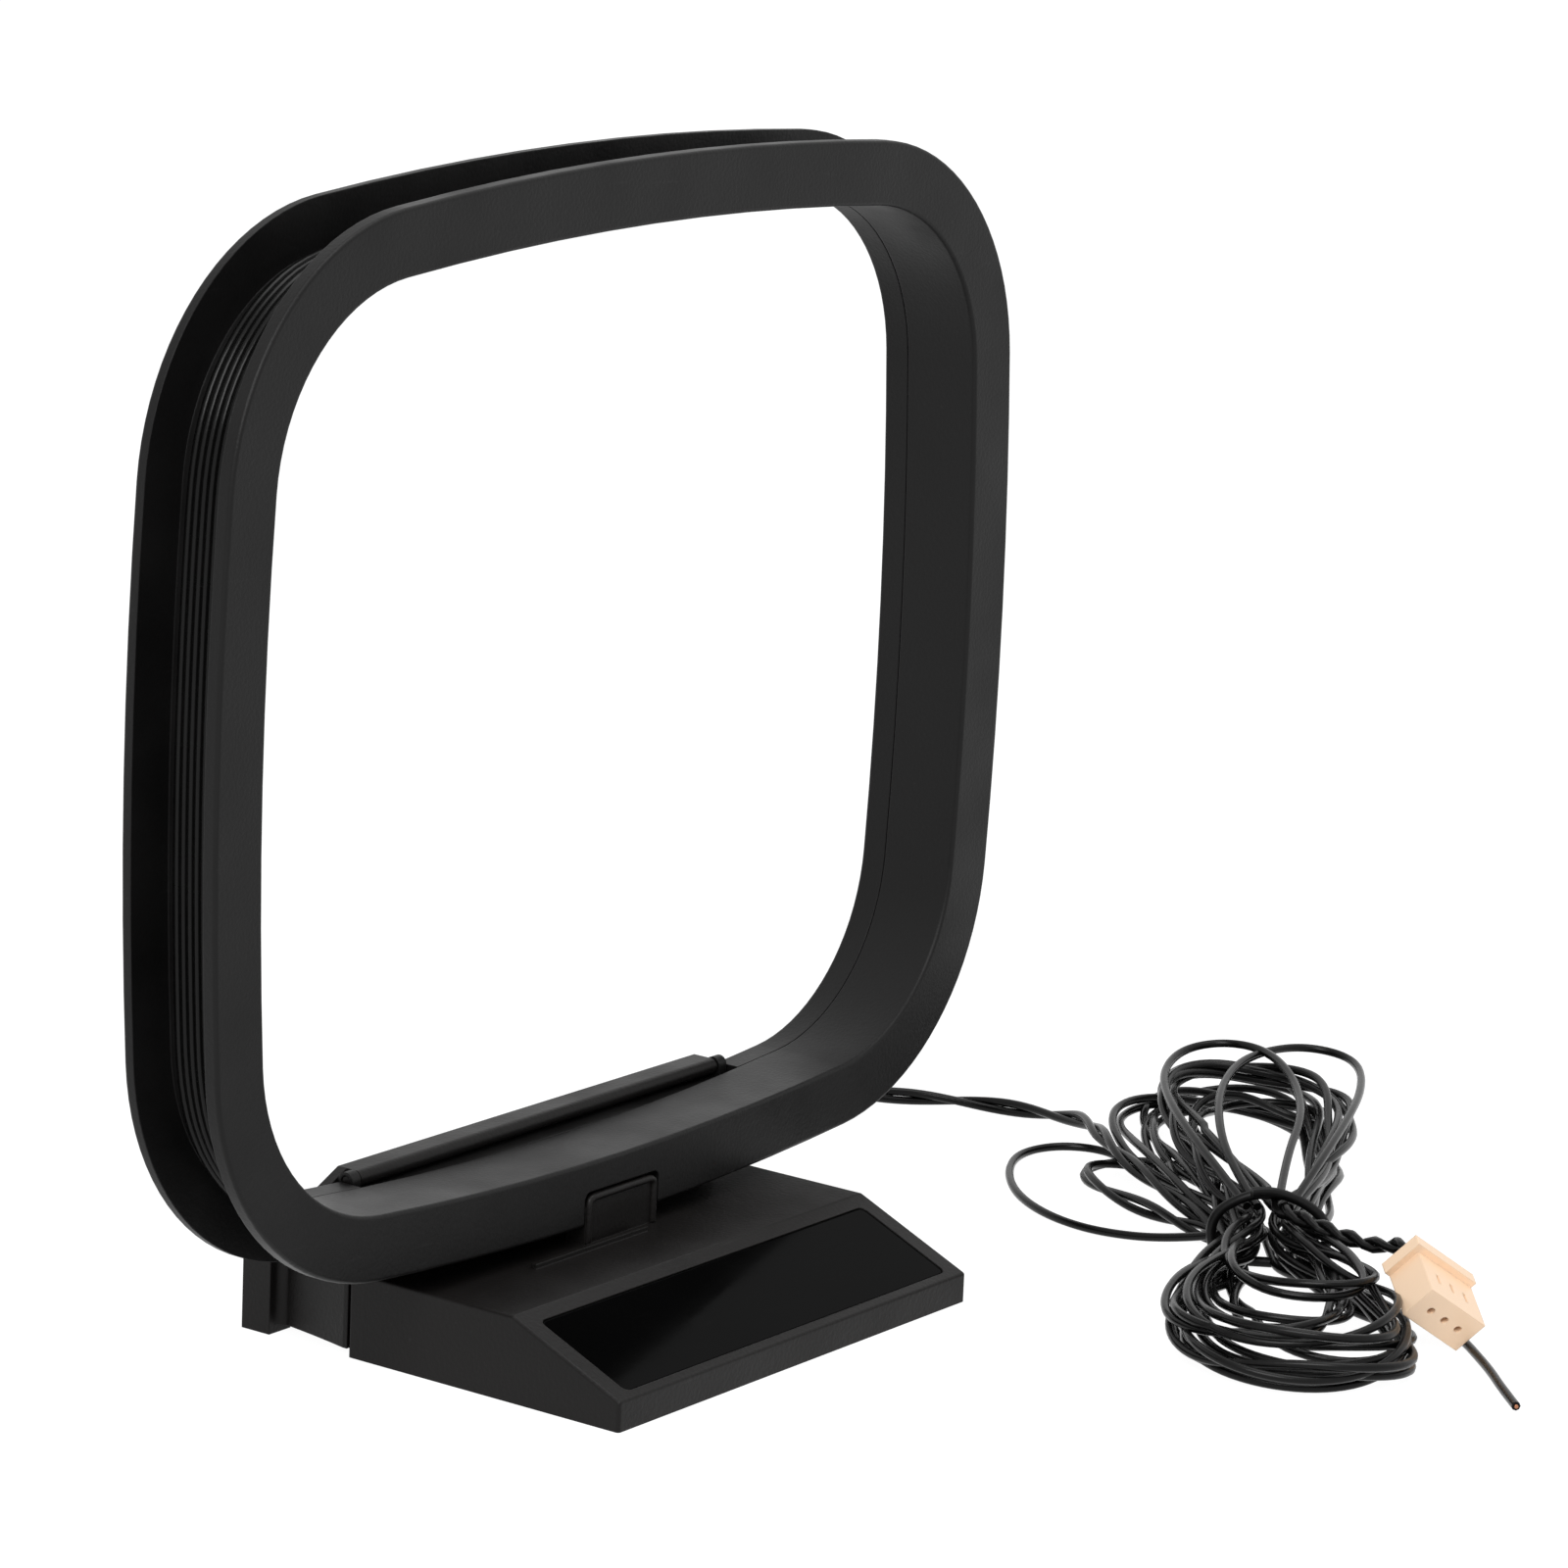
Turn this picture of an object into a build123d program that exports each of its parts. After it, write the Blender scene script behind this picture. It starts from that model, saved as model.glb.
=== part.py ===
from build123d import *
import os
from math import atan2, cos, degrees, hypot, pi, radians, sin, sqrt, tan

os.makedirs("parts", exist_ok=True)

# A table-top radio loop antenna, in millimetres. It stands on Z = 0 and its front
# faces -Y. The origin is the middle of the stand and its bracket, on the floor.

# Stand
stand_width = 56.4
stand_body_depth = 33.1
stand_depth = 46.6
stand_front_height = 3.0
stand_top_height = 8.6
slope_run = 13.1
stand_wall = 1.8
stand_edge_round = 0.35

# Glossy plate let into the sloped front
plate_side_margin = 2.2
plate_front_margin = 1.0
plate_rear_margin = 1.7
plate_corner = 0.8
plate_recess = 0.7
plate_thickness = 0.6
plate_clearance = 0.12

# Lug that stands in the loop's notch, and the low lip in front of it
notch_width = 11.8
notch_height = 3.5
notch_corner = 0.8
lug_clearance = 0.3
lug_thickness = 2.4
lug_setback = 0.1
lip_length = 17.6
lip_offset = -6.4
lip_width = 0.6
lip_height = 0.5
lip_gap = 0.9

# Loop frame: a rounded square with gently bowed sides
loop_half_width = 61.8
loop_half_height = 52.4
loop_lift = 10.4
loop_setback = 22.1
loop_depth = 11.4
side_radius = 367.0
top_radius = 438.0
corner_radius = 25.8
rim_width = 6.5
front_flange = 1.5
rear_flange = 1.2
sleeve_wall = 1.4
seam_from_rear = 3.0
seam_gap = 0.12
spigot_length = 1.8
spigot_clearance = 0.06
rim_round = 0.4

# Winding: insulated wire in one layer round the sleeve
wire_diameter = 0.82
winding_pitch = 1.24
winding_clearance = 0.06
winding_margin = 0.35

# Hinge rail at the loop's lower rear edge
rail_radius = 0.8
rail_inset = 0.75
rail_clearance = 0.3
pocket_depth = 3.2
pocket_margin = 0.3
pin_radius = 0.5
pin_length = 1.35
pin_clearance = 0.06
ear_thickness = 1.2
ear_gap = 0.25
ear_radius = 0.9

# Bracket behind the loop
bracket_gap = 0.35
bracket_plate = 1.1
bracket_shoulder = 5.4
shoulder_drop = 2.6
shoulder_edge = 1.5
shoulder_height = 15.5
foot_wall = 1.6
foot_block = 3.5
foot_relief = 0.8
foot_seam = 0.15
scoop_depth = 1.6
gusset_width = 1.6
gusset_spread = 17.0
gusset_reach = 6.0
tongue_width = 38.0
tongue_length = 9.0
tongue_thickness = 1.8
tongue_height = 3.4
tongue_clearance = 0.15

# Lead: a pair of wires twisted together
pair_diameter = 2 * wire_diameter
exit_inset = 20.8
exit_height = 13.4
exit_clearance = 0.25
floor_clearance = 0.06

# Tied hank of the lead, lying on the floor
hank_waist = Vector(58.0, -37.5)
hank_angle = 32.8
hank_step = 2.8
hank_layer_step = 2.14
hank_inner_half = 0.9
hank_spread = 7.0
hank_far_lobes = (40.0, 42.0, 38.0, 36.0)
hank_near_lobes = (31.0, 33.0, 28.5, 30.0)
tie_width = 1.6
tie_thickness = 0.5
tie_clearance = 0.25
upper_clearance = 0.12

# Three-way plug
plug_pitch = 2.0
plug_ways = 3
plug_end_margin = 1.95
plug_thickness = 4.0
plug_length = 7.2
plug_rim = 0.7
plug_rim_width = 1.4
plug_hole_radius = 0.4
plug_bore_radius = 0.78
plug_window = 0.4
plug_window_length = 1.3
plug_window_setback = 2.9
plug_face_wall = 1.2
plug_centre = Vector(48.6, -65.6)
plug_heading = 227.5
plug_dip = 22.8
plug_lean = 37.8
contact_length = 4.6
contact_clearance = 0.05

stand_front = -stand_depth / 2
stand_rear = stand_depth / 2
body_rear = stand_front + stand_body_depth
loop_front = stand_front + loop_setback
loop_rear = loop_front + loop_depth
loop_centre_z = loop_lift + loop_half_height
exit_x = loop_half_width - exit_inset
wire_radius = wire_diameter / 2
pair_radius = pair_diameter / 2


def finish(piece, name):
    """Label one finished piece and write it."""
    piece.part.label = name
    export_step(piece.part, "parts/" + name + ".step")


# Loop outline, shared by both frames and the winding

side_centre = loop_half_width - side_radius
top_centre = loop_half_height - top_radius
side_reach = side_radius - corner_radius
top_reach = top_radius - corner_radius
centre_gap = hypot(side_centre, top_centre)
along_gap = (side_reach**2 - top_reach**2 + centre_gap**2) / (2 * centre_gap)
across_gap = sqrt(side_reach**2 - along_gap**2)
corner_x = side_centre - along_gap * side_centre / centre_gap - across_gap * top_centre / centre_gap
corner_z = along_gap * top_centre / centre_gap - across_gap * side_centre / centre_gap
side_angle = degrees(atan2(corner_z, corner_x - side_centre))
top_angle = degrees(atan2(corner_z - top_centre, corner_x))
corner_turn = top_angle - side_angle


def outline(inset):
    """Face of the loop's rounded square, drawn in by inset, in the loop's own plane."""
    with BuildLine() as edge:
        for sign, turn in ((1, 0), (-1, 180)):
            CenterArc((sign * side_centre, 0), side_radius - inset, turn - side_angle, 2 * side_angle)
            CenterArc((sign * corner_x, sign * corner_z), corner_radius - inset,
                      turn + side_angle, corner_turn)
            CenterArc((0, sign * top_centre), top_radius - inset, turn + top_angle, 180 - 2 * top_angle)
            CenterArc((-sign * corner_x, sign * corner_z), corner_radius - inset,
                      turn + 180 - top_angle, corner_turn)
    return edge.line


def loop_plane(y):
    """Plane across the loop at the given depth; its normal points to the front."""
    return Plane((0, y, loop_centre_z), x_dir=(1, 0, 0), z_dir=(0, -1, 0))


def ring(outer, inner):
    """Sketch the ring between two insets of the loop's outline."""
    make_face(outline(outer))
    make_face(outline(inner), mode=Mode.SUBTRACT)


sleeve_inset = rim_width - sleeve_wall
split_inset = rim_width - sleeve_wall / 2
seam_y = loop_rear - seam_from_rear
notch_top = loop_lift + notch_height
exit_half = pair_radius + exit_clearance

with BuildPart() as front_frame:
    with BuildSketch(loop_plane(loop_front + front_flange)):
        ring(0, rim_width)
    extrude(amount=front_flange)
    with BuildSketch(loop_plane(seam_y)):
        ring(sleeve_inset, rim_width)
    extrude(amount=seam_y - loop_front)
    with BuildSketch(loop_plane(seam_y + 1)):
        ring(sleeve_inset - 1, split_inset + spigot_clearance)
    extrude(amount=spigot_length + seam_gap + 1, mode=Mode.SUBTRACT)
    front_edges = front_frame.edges().group_by(Axis.Y)[0]
    fillet(front_edges, radius=rim_round)
    with BuildSketch(loop_plane(loop_front + front_flange + 0.2)):
        with Locations((0, notch_top - loop_centre_z)):
            RectangleRounded(notch_width, 2 * notch_height, notch_corner, align=(Align.CENTER, Align.MAX))
    extrude(amount=front_flange + 1, mode=Mode.SUBTRACT)
finish(front_frame, "front_frame")

ear_inner = stand_width / 2 + ear_gap
rail_y = loop_rear - rail_inset
pocket_floor = loop_lift + rim_width
rail_height = pocket_floor + rail_clearance + rail_radius
pocket_half = ear_inner + ear_thickness + pocket_margin
ear_middle = ear_inner + ear_thickness / 2
ear_foot = pocket_floor - sleeve_wall / 4

with BuildPart() as rear_frame:
    with BuildSketch(loop_plane(loop_rear)):
        ring(0, rim_width)
    extrude(amount=rear_flange)
    with BuildSketch(loop_plane(loop_rear)):
        ring(sleeve_inset, rim_width)
    extrude(amount=seam_from_rear - seam_gap)
    with BuildSketch(loop_plane(loop_rear - 0.2)):
        ring(sleeve_inset, split_inset)
    extrude(amount=seam_from_rear - 0.2 + spigot_length)
    fillet(rear_frame.edges().group_by(Axis.Y)[-1], radius=rim_round)
    with BuildSketch(Plane.XY.offset(pocket_floor)):
        with Locations((0, loop_rear + 0.5)):
            Rectangle(2 * pocket_half, pocket_depth + 0.5, align=(Align.CENTER, Align.MAX))
    extrude(amount=2 * rim_width, mode=Mode.SUBTRACT)
    for side in (-1, 1):
        with BuildSketch(Plane.YZ.offset(side * ear_middle)):
            with Locations((rail_y, rail_height)):
                Circle(ear_radius)
                Rectangle(2 * ear_radius, rail_height - ear_foot, align=(Align.CENTER, Align.MAX))
                Circle(pin_radius + pin_clearance, mode=Mode.SUBTRACT)
        extrude(amount=ear_thickness / 2, both=True)
    with BuildSketch(loop_plane(loop_rear + 0.5)):
        with Locations((exit_x, exit_height - loop_centre_z)):
            SlotCenterPoint((0, -2 * exit_half), (0, 0), 2 * exit_half, rotation=0)
    extrude(amount=rear_flange + 0.7, mode=Mode.SUBTRACT)
finish(rear_frame, "rear_frame")


# Wire paths

def biarc(start, start_way, end, end_way):
    """Two tangent arcs from one point and direction to another."""
    gap = end - start
    ways = start_way + end_way
    square = 2 * (1 - start_way.dot(end_way))
    if square < 1e-9:
        reach = gap.dot(gap) / (4 * gap.dot(end_way))
    else:
        reach = (sqrt(gap.dot(ways)**2 + square * gap.dot(gap)) - gap.dot(ways)) / square
    joint = (start + end + (start_way - end_way) * reach) * 0.5
    bend_arc(start, start_way, joint)
    joint_way = (end - end_way * reach - start - start_way * reach).normalized()
    bend_arc(joint, joint_way, end)


def bend_arc(start, way, end):
    """An arc that leaves start along way and ends at end, or a line if it is straight."""
    if way.cross(end - start).length < 1e-6:
        Line(start, end)
    else:
        TangentArc(start, end, tangent=way)


def least_gap(path, diameter, step):
    """Least clear distance of a wound tube to itself, measured on points."""
    points = []
    for edge in path.edges():
        count = int(edge.length / step) + 1
        points += [edge @ (i / count) for i in range(count)]
    near = int(3 * diameter / step) + 2
    cells = {}
    for i, p in enumerate(points):
        cells.setdefault((int(p.X // 4), int(p.Y // 4), int(p.Z // 4)), []).append(i)
    shifts = (-1, 0, 1)
    least = 1e9
    for (a, b, c), here in cells.items():
        around = [j for da in shifts for db in shifts for dc in shifts
                  for j in cells.get((a + da, b + db, c + dc), [])]
        for i in here:
            for j in around:
                if j - i > near:
                    least = min(least, (points[j] - points[i]).length)
    return least - diameter


def tube(path, diameter):
    """Sweep a round section along a path, at its default transition."""
    with BuildSketch(Plane(path.line @ 0, z_dir=path.line % 0)) as section:
        Circle(diameter / 2)
    sweep(sections=section.sketch, path=path.line)


def cord_radii(points):
    """Radius at each corner: 0.45 of the shorter run over the tangent of half the turn."""
    radii = []
    for before, here, after in zip(points, points[1:], points[2:]):
        run_in = here - before
        run_out = after - here
        half_turn = radians(run_in.get_angle(run_out)) / 2
        radii.append(0.45 * min(run_in.length, run_out.length) / tan(half_turn))
    return radii


def cord_path(name, points):
    """Straight runs joined by tangent arcs; prints the radii."""
    radii = cord_radii(points)
    print(name, "radii", [round(r, 1) for r in radii])
    return FilletPolyline(*points, radius=radii)


def check_volume(name, piece, path, diameter):
    """Print the tube's length, and its volume over its section times its length."""
    section = pi * diameter**2 / 4
    length = sum(edge.length for edge in path.edges())
    print(name, "length", round(length, 1), "volume ratio", round(piece.part.volume / (section * length), 4))


winding_inset = sleeve_inset - winding_clearance - wire_radius
winding_rear_y = loop_rear - rear_flange - winding_margin - wire_radius
winding_front_y = loop_front + front_flange + winding_clearance + wire_radius
winding_turns = int((winding_rear_y - winding_front_y) / winding_pitch)


def winding_point(x, z, y):
    return Vector(x, y, loop_centre_z + z)


def winding_arc(centre, radius, start, size, y):
    """One arc of a turn, in the loop's plane at the depth y."""
    ends = []
    for share in (0, 0.5, 1):
        angle = radians(start + size * share)
        ends.append(winding_point(centre[0] + radius * cos(angle), centre[1] + radius * sin(angle), y))
    ThreePointArc(*ends)


bottom_x = (top_radius - winding_inset) * cos(radians(top_angle))
bottom_z = -top_centre - (top_radius - winding_inset) * sin(radians(top_angle))
bottom_way_in = Vector(-sin(radians(top_angle)), 0, -cos(radians(top_angle)))
bottom_way_out = Vector(-sin(radians(top_angle)), 0, cos(radians(top_angle)))
corner_bend = corner_radius - winding_inset
side_bend = side_radius - winding_inset

with BuildPart() as winding:
    with BuildLine() as winding_path:
        first = winding_point(bottom_x, bottom_z, winding_rear_y)
        Line(first - bottom_way_in * wire_diameter, first)
        for turn in range(winding_turns):
            start_y = winding_rear_y - turn * winding_pitch
            y = start_y - winding_pitch
            biarc(winding_point(bottom_x, bottom_z, start_y), bottom_way_in,
                  winding_point(-bottom_x, bottom_z, y), bottom_way_out)
            winding_arc((-corner_x, -corner_z), corner_bend, 180 + top_angle, -corner_turn, y)
            winding_arc((-side_centre, 0), side_bend, 180 + side_angle, -2 * side_angle, y)
            winding_arc((-corner_x, corner_z), corner_bend, 180 - side_angle, -corner_turn, y)
            winding_arc((0, top_centre), top_radius - winding_inset, 180 - top_angle, 2 * top_angle - 180, y)
            winding_arc((corner_x, corner_z), corner_bend, top_angle, -corner_turn, y)
            winding_arc((side_centre, 0), side_bend, side_angle, -2 * side_angle, y)
            winding_arc((corner_x, -corner_z), corner_bend, -side_angle, -corner_turn, y)
        last = winding_point(bottom_x, bottom_z, winding_rear_y - winding_turns * winding_pitch)
        Line(last, last + bottom_way_in * wire_diameter)
    tube(winding_path, wire_diameter)
check_volume("winding", winding, winding_path, wire_diameter)
print("winding least gap", round(least_gap(winding_path, wire_diameter, 0.8), 2))
finish(winding, "winding")

# Tails of the winding, to the notch in the rear flange

tail_level = exit_height
flange_inner = loop_rear - rear_flange
rear_start = first - bottom_way_in * wire_diameter
front_start = last + bottom_way_in * wire_diameter
tail_spread = wire_radius + 0.06

with BuildPart() as rear_tail:
    with BuildLine() as rear_tail_path:
        cord_path("rear_tail", [
            rear_start,
            Vector(exit_x - 1.2, winding_rear_y, rear_start.Z + 0.1),
            Vector(exit_x + 0.1, winding_rear_y, rear_start.Z - 0.45),
            Vector(exit_x + tail_spread, winding_rear_y, tail_level + 1.6),
            Vector(exit_x + tail_spread, winding_rear_y + 0.6, tail_level + 0.6),
            Vector(exit_x + tail_spread, flange_inner + 0.85, tail_level),
            Vector(exit_x + tail_spread, loop_rear + 0.4, tail_level),
        ])
    tube(rear_tail_path, wire_diameter)
finish(rear_tail, "rear_tail")

with BuildPart() as front_tail:
    with BuildLine() as front_tail_path:
        cord_path("front_tail", [
            front_start,
            front_start + bottom_way_in * 2.2,
            front_start + Vector(-5.0, 0.4, -1.4),
            front_start + Vector(-6.4, 2.4, -1.9),
            front_start + Vector(-5.0, 5.0, -2.0),
            Vector(exit_x - 6.4, flange_inner - 2.7, tail_level - 0.3),
            Vector(exit_x - 2.6, flange_inner - 2.0, tail_level - 0.1),
            Vector(exit_x - 1.0, flange_inner - 0.9, tail_level),
            Vector(exit_x - tail_spread, flange_inner + 0.4, tail_level),
            Vector(exit_x - tail_spread, loop_rear + 0.4, tail_level),
        ])
    tube(front_tail_path, wire_diameter)
finish(front_tail, "front_tail")


# Stand: a hollow wedge with a sloped front, open below

slope_angle = degrees(atan2(stand_top_height - stand_front_height, slope_run))
slope_length = hypot(slope_run, stand_top_height - stand_front_height)


def side_profile(inset, rear_inset):
    """Corners of the stand's side outline, drawn in from the top, front and rear."""
    rise = inset / cos(radians(slope_angle))
    front = stand_front + inset
    front_height = stand_front_height - rise + inset * tan(radians(slope_angle))
    top = stand_top_height - inset
    top_y = front + (top - front_height) / tan(radians(slope_angle))
    rear = body_rear - rear_inset
    floor = -1 if inset else 0
    return [(front, floor), (front, front_height), (top_y, top), (rear, top), (rear, floor)]


slope_face = Plane((0, stand_front, stand_front_height), x_dir=(1, 0, 0),
                   z_dir=(0, -sin(radians(slope_angle)), cos(radians(slope_angle))))
plate_length = slope_length - plate_front_margin - plate_rear_margin
plate_width = stand_width - 2 * plate_side_margin
plate_middle = plate_front_margin + plate_length / 2
lug_width = notch_width - 2 * lug_clearance
lug_rise = notch_top - lug_clearance - stand_top_height
lug_y = loop_front + lug_setback
lip_y = loop_front - lip_gap - lip_width
tongue_middle = tongue_height + tongue_thickness / 2

with BuildPart() as stand_base:
    with BuildSketch(Plane.YZ):
        with BuildLine():
            Polyline(*side_profile(0, 0), close=True)
        make_face()
    extrude(amount=stand_width / 2, both=True)
    fillet(stand_base.edges().filter_by(lambda e: e.center().Z > 0.1), radius=stand_edge_round)
    with BuildSketch(Plane.YZ):
        with BuildLine():
            Polyline(*side_profile(stand_wall, stand_wall), close=True)
        make_face()
    extrude(amount=stand_width / 2 - stand_wall, both=True, mode=Mode.SUBTRACT)
    with BuildSketch(slope_face):
        with Locations((0, plate_middle)):
            RectangleRounded(plate_width, plate_length, plate_corner)
    extrude(amount=-plate_recess, mode=Mode.SUBTRACT)
    with BuildSketch(loop_plane(lug_y + lug_thickness)):
        with Locations((0, stand_top_height - stand_wall / 2 - loop_centre_z)):
            RectangleRounded(lug_width, 2 * (lug_rise + stand_wall / 2), 2 * notch_corner)
            Rectangle(lug_width + 1, 2 * lug_rise + 2 * stand_wall, align=(Align.CENTER, Align.MAX),
                      mode=Mode.SUBTRACT)
    extrude(amount=lug_thickness)
    with BuildSketch(Plane.XY.offset(stand_top_height - stand_wall / 2)):
        with Locations((lip_offset, lip_y + lip_width / 2)):
            Rectangle(lip_length, lip_width)
    extrude(amount=stand_wall / 2 + lip_height)
    rib_height = stand_top_height - stand_wall / 2
    with BuildSketch(Plane.XY):
        with Locations((0, body_rear - stand_wall - tongue_length / 2)):
            with GridLocations(tongue_width + stand_wall + 2 * tongue_clearance, 0, 2, 1):
                Rectangle(stand_wall, tongue_length + stand_wall)
    extrude(amount=rib_height)
    with BuildSketch(Plane.XZ.offset(-body_rear - 0.5)):
        with Locations((0, tongue_middle)):
            Rectangle(tongue_width + 2 * tongue_clearance, tongue_thickness + 2 * tongue_clearance)
    extrude(amount=stand_wall + 1, mode=Mode.SUBTRACT)
finish(stand_base, "stand_base")

with BuildPart() as front_plate:
    with BuildSketch(slope_face.offset(-plate_recess)):
        with Locations((0, plate_middle)):
            RectangleRounded(plate_width - 2 * plate_clearance, plate_length - 2 * plate_clearance,
                             plate_corner - plate_clearance)
    extrude(amount=plate_thickness)
finish(front_plate, "front_plate")


# Bracket: its foot closes the stand's rear, its plate rises behind the loop to the rail

plate_front_y = loop_rear + bracket_gap
plate_rear_y = plate_front_y + bracket_plate
foot_front = body_rear + foot_seam
block_front = stand_rear - foot_block
half_width = stand_width / 2
rail_top = rail_height + rail_radius
shoulder_top = rail_top - shoulder_drop
foot_inner = half_width - scoop_depth - foot_wall

with BuildPart() as rear_bracket:
    with BuildSketch(Plane.XY):
        with Locations((0, (foot_front + stand_rear) / 2)):
            Rectangle(stand_width, stand_rear - foot_front)
        for side in (-1, 1):
            hollow_y = block_front - 0.9
            with BuildLine():
                ThreePointArc((side * half_width, foot_front + 0.5),
                              (side * (half_width - 0.6 * scoop_depth), (foot_front + hollow_y) / 2 + 0.6),
                              (side * (half_width - scoop_depth), hollow_y))
                ThreePointArc((side * (half_width - scoop_depth), hollow_y),
                              (side * (half_width - 0.78 * scoop_depth), block_front - 0.2),
                              (side * (half_width - 0.3 * scoop_depth), block_front))
                Polyline((side * (half_width - 0.3 * scoop_depth), block_front),
                         (side * (half_width + 1), block_front),
                         (side * (half_width + 1), foot_front + 0.5),
                         (side * half_width, foot_front + 0.5))
            make_face(mode=Mode.SUBTRACT)
    extrude(amount=stand_top_height)
    fillet(rear_bracket.edges().group_by(Axis.Y)[-1].sort_by(Axis.Z)[-1], radius=stand_edge_round)
    with BuildSketch(Plane.XY):
        with Locations((0, (foot_front + foot_wall + stand_rear - foot_wall) / 2)):
            Rectangle(2 * foot_inner, stand_rear - foot_front - 2 * foot_wall)
    extrude(amount=stand_top_height - foot_wall, mode=Mode.SUBTRACT)
    with BuildSketch(Plane.XY):
        with Locations((0, (foot_front + block_front) / 2)):
            Rectangle(stand_width + 2, block_front - foot_front)
    extrude(amount=foot_relief, mode=Mode.SUBTRACT)
    with BuildSketch(Plane.XZ.offset(-plate_rear_y)):
        with BuildLine():
            Polyline((-half_width, rail_top), (half_width, rail_top),
                     (half_width + bracket_shoulder, shoulder_top),
                     (half_width + bracket_shoulder, shoulder_height - shoulder_edge),
                     (half_width, stand_top_height - foot_wall / 2),
                     (-half_width, stand_top_height - foot_wall / 2),
                     (-half_width - bracket_shoulder, shoulder_height - shoulder_edge),
                     (-half_width - bracket_shoulder, shoulder_top), close=True)
        make_face()
    extrude(amount=bracket_plate)
    with BuildSketch(Plane.YZ):
        with Locations((rail_y, rail_height)):
            Circle(rail_radius)
        with Locations((rail_y, rail_top)):
            Rectangle(plate_rear_y - rail_y - bracket_plate / 2, rail_radius, align=(Align.MIN, Align.MAX))
    extrude(amount=half_width, both=True)
    with BuildSketch(Plane.YZ):
        with Locations((rail_y, rail_height)):
            Circle(pin_radius)
    extrude(amount=half_width + pin_length, both=True)
    for side in (-1, 1):
        with BuildSketch(Plane.YZ.offset(side * gusset_spread)):
            with BuildLine():
                Polyline((plate_rear_y - 0.2, shoulder_height),
                         (plate_rear_y + gusset_reach, stand_top_height),
                         (plate_rear_y + gusset_reach, stand_top_height - foot_wall / 2),
                         (plate_rear_y - 0.2, stand_top_height - foot_wall / 2), close=True)
            make_face()
        extrude(amount=gusset_width / 2, both=True)
    with BuildSketch(Plane.XZ.offset(-foot_front - foot_wall / 2)):
        with Locations((0, tongue_middle)):
            Rectangle(tongue_width, tongue_thickness)
    extrude(amount=tongue_length + foot_wall / 2)
finish(rear_bracket, "rear_bracket")


# Hank of the lead, tied at its waist

hank_along = Vector(cos(radians(hank_angle)), sin(radians(hank_angle)))
hank_across = Vector(-sin(radians(hank_angle)), cos(radians(hank_angle)))
hank_layers = len(hank_far_lobes)
hank_floor = floor_clearance + tie_thickness + tie_clearance + pair_radius
waist_half = hank_inner_half + 1.5 * hank_step
lobe_half = waist_half + hank_spread


def hank_point(along, across, height):
    return hank_waist + hank_along * along + hank_across * across + Vector(0, 0, height)


def hank_inset(t):
    """How far a loop lies inside the outermost one, in steps, after t turns."""
    layer = int((t - 0.5) // 2)
    share = min(t - 0.5 - 2 * layer, 1.5)
    return share if layer % 2 == 0 else 1.5 - share


def hank_station(t, place):
    """Point and direction of the cord at one of eight places round a loop."""
    drawn = hank_step * hank_inset(max(t, 0.5))
    half = lobe_half - drawn
    waist = waist_half - drawn
    layer = min(max(int((t - 0.5) // 2), 0), hank_layers - 1)
    height = hank_floor + layer * hank_layer_step
    far_lobe = hank_far_lobes[layer]
    near_lobe = hank_near_lobes[layer]
    climb = 0
    if place in (2, 3) and 2 < t < 2 * hank_layers:
        climbing = (t - 0.5) % 2 > 1.5
        if climbing and place == 3:
            height += hank_layer_step
            near_lobe = hank_near_lobes[layer + 1]
        if climbing and place == 2:
            height += hank_layer_step / 2
            climb = 0.04
    spots = [
        (far_lobe + half, 0, hank_across),
        (far_lobe, half, -hank_along),
        (0, waist, -hank_along),
        (-near_lobe, half, -hank_along),
        (-near_lobe - half, 0, -hank_across),
        (-near_lobe, -half, hank_along),
        (0, -waist, hank_along),
        (far_lobe, -half, hank_along),
    ]
    along, across, way = spots[place]
    return hank_point(along, across, height), (way + Vector(0, 0, climb)).normalized()


hank_shares = [0, 0.09, 0.25, 0.41, 0.5, 0.59, 0.75, 0.91]
hank_stations = [hank_station(turn + share, place)
                 for turn in range(2 * hank_layers + 1)
                 for place, share in enumerate(hank_shares)
                 if 0.25 <= turn + share <= 2 * hank_layers + 0.25]

with BuildPart() as lead_hank:
    with BuildLine() as hank_path:
        point, way = hank_stations[0]
        hank_start = point - way * pair_diameter
        Line(hank_start, point)
        for next_point, next_way in hank_stations[1:]:
            biarc(point, way, next_point, next_way)
            point, way = next_point, next_way
        hank_end = point + way * pair_diameter
        Line(point, hank_end)
    tube(hank_path, pair_diameter)
check_volume("lead_hank", lead_hank, hank_path, pair_diameter)
print("lead_hank least gap", round(least_gap(hank_path, pair_diameter, 0.8), 2))
finish(lead_hank, "lead_hank")

hank_height = (hank_layers - 1) * hank_layer_step + pair_diameter
tie_plane = Plane(hank_point(-tie_width / 2, 0, hank_floor - pair_radius + hank_height / 2),
                  x_dir=hank_across, z_dir=hank_along)
tie_inner_width = 2 * (waist_half + pair_radius + tie_clearance)
tie_inner_height = hank_height + 2 * tie_clearance

with BuildPart() as hank_tie:
    with BuildSketch(tie_plane):
        RectangleRounded(tie_inner_width + 2 * tie_thickness, tie_inner_height + 2 * tie_thickness,
                         2 * tie_thickness)
        RectangleRounded(tie_inner_width, tie_inner_height, tie_thickness, mode=Mode.SUBTRACT)
    extrude(amount=tie_width)
finish(hank_tie, "hank_tie")


# Plug, tipped on one lower corner where it leans against the hank

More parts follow.
